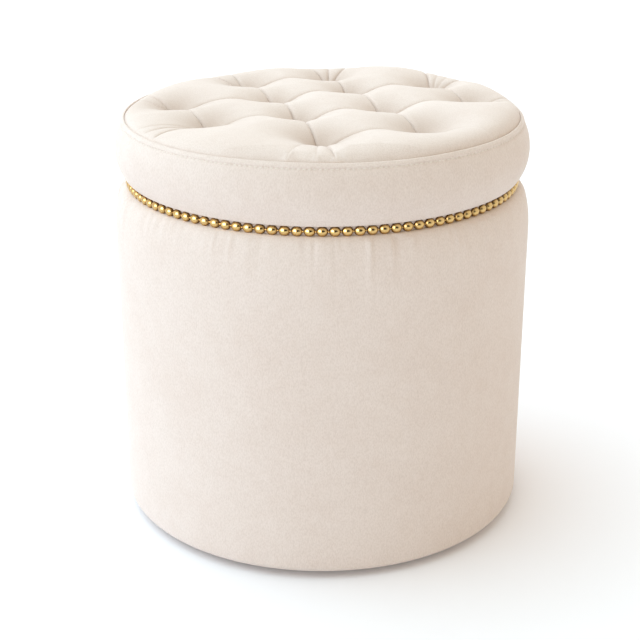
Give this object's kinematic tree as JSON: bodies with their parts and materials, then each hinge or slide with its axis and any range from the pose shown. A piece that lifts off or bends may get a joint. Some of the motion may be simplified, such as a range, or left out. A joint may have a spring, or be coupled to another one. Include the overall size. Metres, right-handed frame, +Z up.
{
  "type": "round storage pouf",
  "caption": "Round upholstered pouf with a loose tufted lid that lifts off a storage drum, trimmed with a row of brass nailheads, standing on low glides.",
  "frame": {"origin": "on the floor, on the pouf's axis", "axes": "+Z up the axis, -Y towards the viewer of the picture, +X to the right"},
  "size_m": [0.3999, 0.4, 0.407],
  "materials": {
    "cover_suede": "short-nap ivory suede cloth",
    "lining_cloth": "plain woven beige lining",
    "dust_cloth": "black non-woven cloth",
    "plywood": "sanded birch plywood",
    "softwood": "planed softwood",
    "hardboard": "smooth brown hardboard",
    "card": "grey-brown card",
    "foam": "open-cell upholstery foam",
    "fibre_wadding": "polyester wadding",
    "brass_plate": "polished, darkened in the recesses",
    "zinc_steel": "bright zinc plate",
    "glide_plastic": "moulded dark plastic",
    "twine": "waxed polyester twine"
  },
  "bodies": {
    "drum": {"body_cover": "cover_suede", "cavity_lining": "lining_cloth", "cavity_floor": "lining_cloth", "dust_cover": "dust_cloth", "base_board": "plywood", "rim_ring": "plywood", "upright_1": "softwood", "upright_2": "softwood", "upright_3": "softwood", "upright_4": "softwood", "upright_5": "softwood", "upright_6": "softwood", "upright_7": "softwood", "upright_8": "softwood", "wall_sheet": "hardboard", "liner_tube": "card", "body_foam": "foam", "nailhead_strip": "brass_plate", "nailhead_nails": "brass_plate", "base_screws": "zinc_steel", "rim_screws": "zinc_steel", "base_staples": "zinc_steel", "rim_staples": "zinc_steel", "glide_nails": "zinc_steel", "glide_1": "glide_plastic", "glide_2": "glide_plastic", "glide_3": "glide_plastic", "glide_4": "glide_plastic"},
    "lid": {"lid_board": "plywood", "lid_locator": "plywood", "locator_screws": "zinc_steel", "lid_lining": "lining_cloth", "lid_staples": "zinc_steel", "lid_foam": "foam", "side_band": "cover_suede", "tuft_twines": "twine", "tuft_washers": "glide_plastic", "lid_fill": "fibre_wadding", "top_panel": "cover_suede"}
  },
  "joints": [
    {"name": "lid_lift", "type": "slide", "parent": "drum", "child": "lid", "axis": [0, 0, 1], "range_m": [0, 0.2]}
  ]
}
